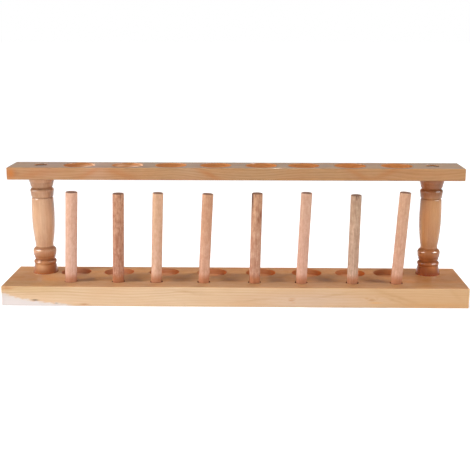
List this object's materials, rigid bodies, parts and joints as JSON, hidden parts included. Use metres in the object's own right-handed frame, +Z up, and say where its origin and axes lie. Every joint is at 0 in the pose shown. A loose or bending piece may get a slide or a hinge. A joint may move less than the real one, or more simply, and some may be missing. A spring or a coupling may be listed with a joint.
{
  "type": "test tube rack",
  "caption": "Wooden test tube rack: a rail drilled with round holes on two turned posts, a base board with shallow recesses below the holes, and a front row of drying pegs that lift out.",
  "frame": {"origin": "middle of the base board's underside", "axes": "+X along the rack to the right as seen from the peg side, +Y to the back, where rail and base are flush, +Z up"},
  "size_m": [0.321, 0.054, 0.0924],
  "materials": {
    "base_pine": "clear gloss varnish",
    "rail_pine": "clear gloss varnish",
    "left_post_pine": "clear gloss varnish",
    "right_post_pine": "clear gloss varnish",
    "bare_dowel": "bare, sanded",
    "screw_steel": "zinc plated"
  },
  "bodies": {
    "rack": {"base_board": "base_pine", "top_rail": "rail_pine", "left_post": "left_post_pine", "right_post": "right_post_pine", "rail_screw_left": "screw_steel", "rail_screw_right": "screw_steel", "base_screw_left": "screw_steel", "base_screw_right": "screw_steel"},
    "peg_1": {"drying_peg_1": "bare_dowel"},
    "peg_2": {"drying_peg_2": "bare_dowel"},
    "peg_3": {"drying_peg_3": "bare_dowel"},
    "peg_4": {"drying_peg_4": "bare_dowel"},
    "peg_5": {"drying_peg_5": "bare_dowel"},
    "peg_6": {"drying_peg_6": "bare_dowel"},
    "peg_7": {"drying_peg_7": "bare_dowel"},
    "peg_8": {"drying_peg_8": "bare_dowel"}
  },
  "joints": [
    {"name": "peg_1_lift", "type": "slide", "parent": "rack", "child": "peg_1", "axis": [0.0436, 0, 0.999], "range_m": [0, 0.03]},
    {"name": "peg_2_lift", "type": "slide", "parent": "rack", "child": "peg_2", "axis": [0.0262, 0, 0.9997], "range_m": [0, 0.03]},
    {"name": "peg_3_lift", "type": "slide", "parent": "rack", "child": "peg_3", "axis": [0.0349, 0, 0.9994], "range_m": [0, 0.03]},
    {"name": "peg_4_lift", "type": "slide", "parent": "rack", "child": "peg_4", "axis": [0.0523, 0, 0.9986], "range_m": [0, 0.03]},
    {"name": "peg_5_lift", "type": "slide", "parent": "rack", "child": "peg_5", "axis": [0.0262, 0, 0.9997], "range_m": [0, 0.03]},
    {"name": "peg_6_lift", "type": "slide", "parent": "rack", "child": "peg_6", "axis": [0.0436, 0, 0.999], "range_m": [0, 0.03]},
    {"name": "peg_7_lift", "type": "slide", "parent": "rack", "child": "peg_7", "axis": [0.0175, 0, 0.9998], "range_m": [0, 0.03]},
    {"name": "peg_8_lift", "type": "slide", "parent": "rack", "child": "peg_8", "axis": [0.061, 0, 0.9981], "range_m": [0, 0.03]}
  ]
}
